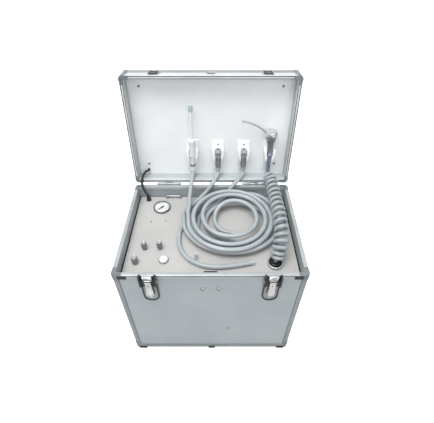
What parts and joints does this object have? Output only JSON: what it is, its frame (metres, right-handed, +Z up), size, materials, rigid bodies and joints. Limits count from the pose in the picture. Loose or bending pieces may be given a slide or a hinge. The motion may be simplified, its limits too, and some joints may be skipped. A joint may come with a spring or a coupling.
{
  "type": "portable dental unit in a flight case",
  "caption": "Aluminium flight case with an open lid holding suction, couplings and a three-way syringe over a deck with a pressure gauge, control knobs, coiled hoses and a curly cord",
  "frame": {"origin": "on the floor under the middle of the opened unit", "axes": "+Z up, the front with the latches faces -Y, +X to the right seen from the front"},
  "size_m": [0.4128, 0.3548, 0.6036],
  "materials": {
    "panel_laminate": "satin laminated sheet",
    "floor_laminate": "satin laminated sheet",
    "rim_aluminium": "bright satin extrusion",
    "edge_aluminium": "satin extrusion",
    "corner_steel": "satin pressed steel",
    "black_rubber": "matte rubber",
    "hinge_steel": "zinc plated steel",
    "dark_zinc": "dark satin plating",
    "chrome": "polished chrome plating",
    "black_plastic": "fine matte moulding",
    "deck_paint": "warm grey satin paint",
    "collar_metal": "turned dark metal",
    "white_nozzle": "white moulding",
    "dial_white": "matte white print ground",
    "clear_glass": "clear window",
    "motor_paint": "satin paint",
    "tank_paint": "satin paint",
    "bottle_plastic": "cloudy blow moulding",
    "liner_white": "white satin sheet and moulding",
    "translucent_body": "pale green translucent moulding",
    "lever_white": "white moulding",
    "coupling_metal": "turned dark metal",
    "syringe_metal": "polished metal",
    "knob_grey": "satin grey moulding",
    "hose_silicone": "soft satin silicone",
    "curly_grey": "soft satin tubing",
    "stay_black": "matte braided cord"
  },
  "bodies": {
    "case": {"base_wall_panels": "panel_laminate", "base_floor": "floor_laminate", "base_rim": "rim_aluminium", "base_edge_trim": "edge_aluminium", "base_corner_caps": "corner_steel", "feet_and_bumpers": "black_rubber", "hinge_base_leaves": "hinge_steel", "latch_plates": "dark_zinc", "panel_screws": "hinge_steel", "power_inlet": "black_plastic", "handle_brackets": "dark_zinc", "deck_panel": "deck_paint", "valve_collars": "collar_metal", "hose_elbows": "white_nozzle", "cord_glands": "collar_metal", "deck_pull": "chrome", "gauge_case": "black_plastic", "gauge_dial": "dial_white", "gauge_lens": "clear_glass", "valve_manifold": "collar_metal", "compressor": "motor_paint", "compressor_mounts": "black_rubber", "air_tank": "tank_paint", "supply_bottles": "bottle_plastic", "suction_coil": "hose_silicone", "coil_left": "hose_silicone", "coil_right": "hose_silicone", "suction_drop": "hose_silicone", "drop_left": "hose_silicone", "drop_right": "hose_silicone", "curly_cord": "curly_grey", "lid_stay_cord": "stay_black"},
    "lid": {"lid_panel": "panel_laminate", "lid_walls": "panel_laminate", "lid_rim": "rim_aluminium", "lid_edge_trim": "edge_aluminium", "lid_corner_caps": "corner_steel", "lid_liner": "liner_white", "liner_screws": "hinge_steel", "latch_keepers": "hinge_steel", "hinge_lid_leaves": "hinge_steel", "instrument_holders": "liner_white"},
    "suction": {"suction_handle": "translucent_body", "suction_tip": "translucent_body"},
    "suction_valve": {"suction_lever": "lever_white"},
    "left_coupling": {"coupling_left": "coupling_metal"},
    "right_coupling": {"coupling_right": "coupling_metal"},
    "syringe": {"syringe_body": "syringe_metal"},
    "nozzle": {"syringe_nozzle": "chrome"},
    "air_button": {"syringe_air_button": "black_plastic"},
    "water_button": {"syringe_water_button": "black_plastic"},
    "left_latch": {"latch_lever_left": "chrome"},
    "right_latch": {"latch_lever_right": "chrome"},
    "left_handle": {"carry_handle_left": "black_plastic"},
    "right_handle": {"carry_handle_right": "black_plastic"},
    "left_knob": {"knob_left": "knob_grey"},
    "right_knob": {"knob_right": "knob_grey"},
    "front_knob": {"knob_front": "knob_grey"},
    "button": {"power_button": "white_nozzle"},
    "needle": {"gauge_needle": "black_plastic"}
  },
  "joints": [
    {"name": "lid_hinge", "type": "hinge", "parent": "case", "child": "lid", "pos_m": [0, 0.10859, 0.327], "axis": [1, 0, 0], "range_deg": [0, 95.6], "deforming": ["suction_drop", "drop_left", "drop_right", "curly_cord", "lid_stay_cord"]},
    {"name": "suction_lift", "type": "slide", "parent": "lid", "child": "suction", "axis": [0, 0.0976, 0.9952], "range_m": [0, 0.025], "deforming": ["suction_drop"]},
    {"name": "suction_valve_turn", "type": "hinge", "parent": "suction", "child": "suction_valve", "pos_m": [-0.0475, 0.13682, 0.44079], "axis": [0, -0.0976, -0.9952], "range_deg": [0, 50]},
    {"name": "left_coupling_lift", "type": "slide", "parent": "lid", "child": "left_coupling", "axis": [0, 0.0976, 0.9952], "range_m": [0, 0.025], "deforming": ["drop_left"]},
    {"name": "right_coupling_lift", "type": "slide", "parent": "lid", "child": "right_coupling", "axis": [0, 0.0976, 0.9952], "range_m": [0, 0.025], "deforming": ["drop_right"]},
    {"name": "syringe_lift", "type": "slide", "parent": "lid", "child": "syringe", "axis": [0, 0.0976, 0.9952], "range_m": [0, 0.025], "deforming": ["curly_cord"]},
    {"name": "nozzle_swivel", "type": "hinge", "parent": "syringe", "child": "nozzle", "pos_m": [0.1445, 0.1379, 0.45173], "axis": [-0.788, 0.0601, 0.6127], "continuous": true},
    {"name": "air_button_press", "type": "slide", "parent": "syringe", "child": "air_button", "axis": [0, 0.9952, -0.0976], "range_m": [0, 0.0015], "stiffness_N_per_m": 300, "springref_m": -0.001},
    {"name": "water_button_press", "type": "slide", "parent": "syringe", "child": "water_button", "axis": [0, 0.9952, -0.0976], "range_m": [0, 0.0015], "stiffness_N_per_m": 300, "springref_m": -0.001},
    {"name": "left_latch_turn", "type": "hinge", "parent": "case", "child": "left_latch", "pos_m": [-0.123, -0.17342, 0.315], "axis": [-1, 0, 0], "range_deg": [0, 180]},
    {"name": "right_latch_turn", "type": "hinge", "parent": "case", "child": "right_latch", "pos_m": [0.123, -0.17342, 0.315], "axis": [-1, 0, 0], "range_deg": [0, 180]},
    {"name": "left_handle_swing", "type": "hinge", "parent": "case", "child": "left_handle", "pos_m": [-0.2, -0.03141, 0.225], "axis": [0, 1, 0], "range_deg": [0, 90]},
    {"name": "right_handle_swing", "type": "hinge", "parent": "case", "child": "right_handle", "pos_m": [0.2, -0.03141, 0.225], "axis": [0, -1, 0], "range_deg": [0, 90]},
    {"name": "left_knob_turn", "type": "hinge", "parent": "case", "child": "left_knob", "pos_m": [-0.148, -0.07441, 0.303], "axis": [0, 0, 1], "range_deg": [0, 360]},
    {"name": "right_knob_turn", "type": "hinge", "parent": "case", "child": "right_knob", "pos_m": [-0.114, -0.07341, 0.303], "axis": [0, 0, 1], "range_deg": [0, 360]},
    {"name": "front_knob_turn", "type": "hinge", "parent": "case", "child": "front_knob", "pos_m": [-0.162, -0.11242, 0.303], "axis": [0, 0, 1], "range_deg": [0, 360]},
    {"name": "button_press", "type": "slide", "parent": "case", "child": "button", "axis": [0, 0, -1], "range_m": [0, 0.0025], "stiffness_N_per_m": 400, "springref_m": -0.001},
    {"name": "needle_sweep", "type": "hinge", "parent": "case", "child": "needle", "pos_m": [-0.125, 0.05409, 0.295], "axis": [0, 0, -1], "range_deg": [0, 270]}
  ]
}
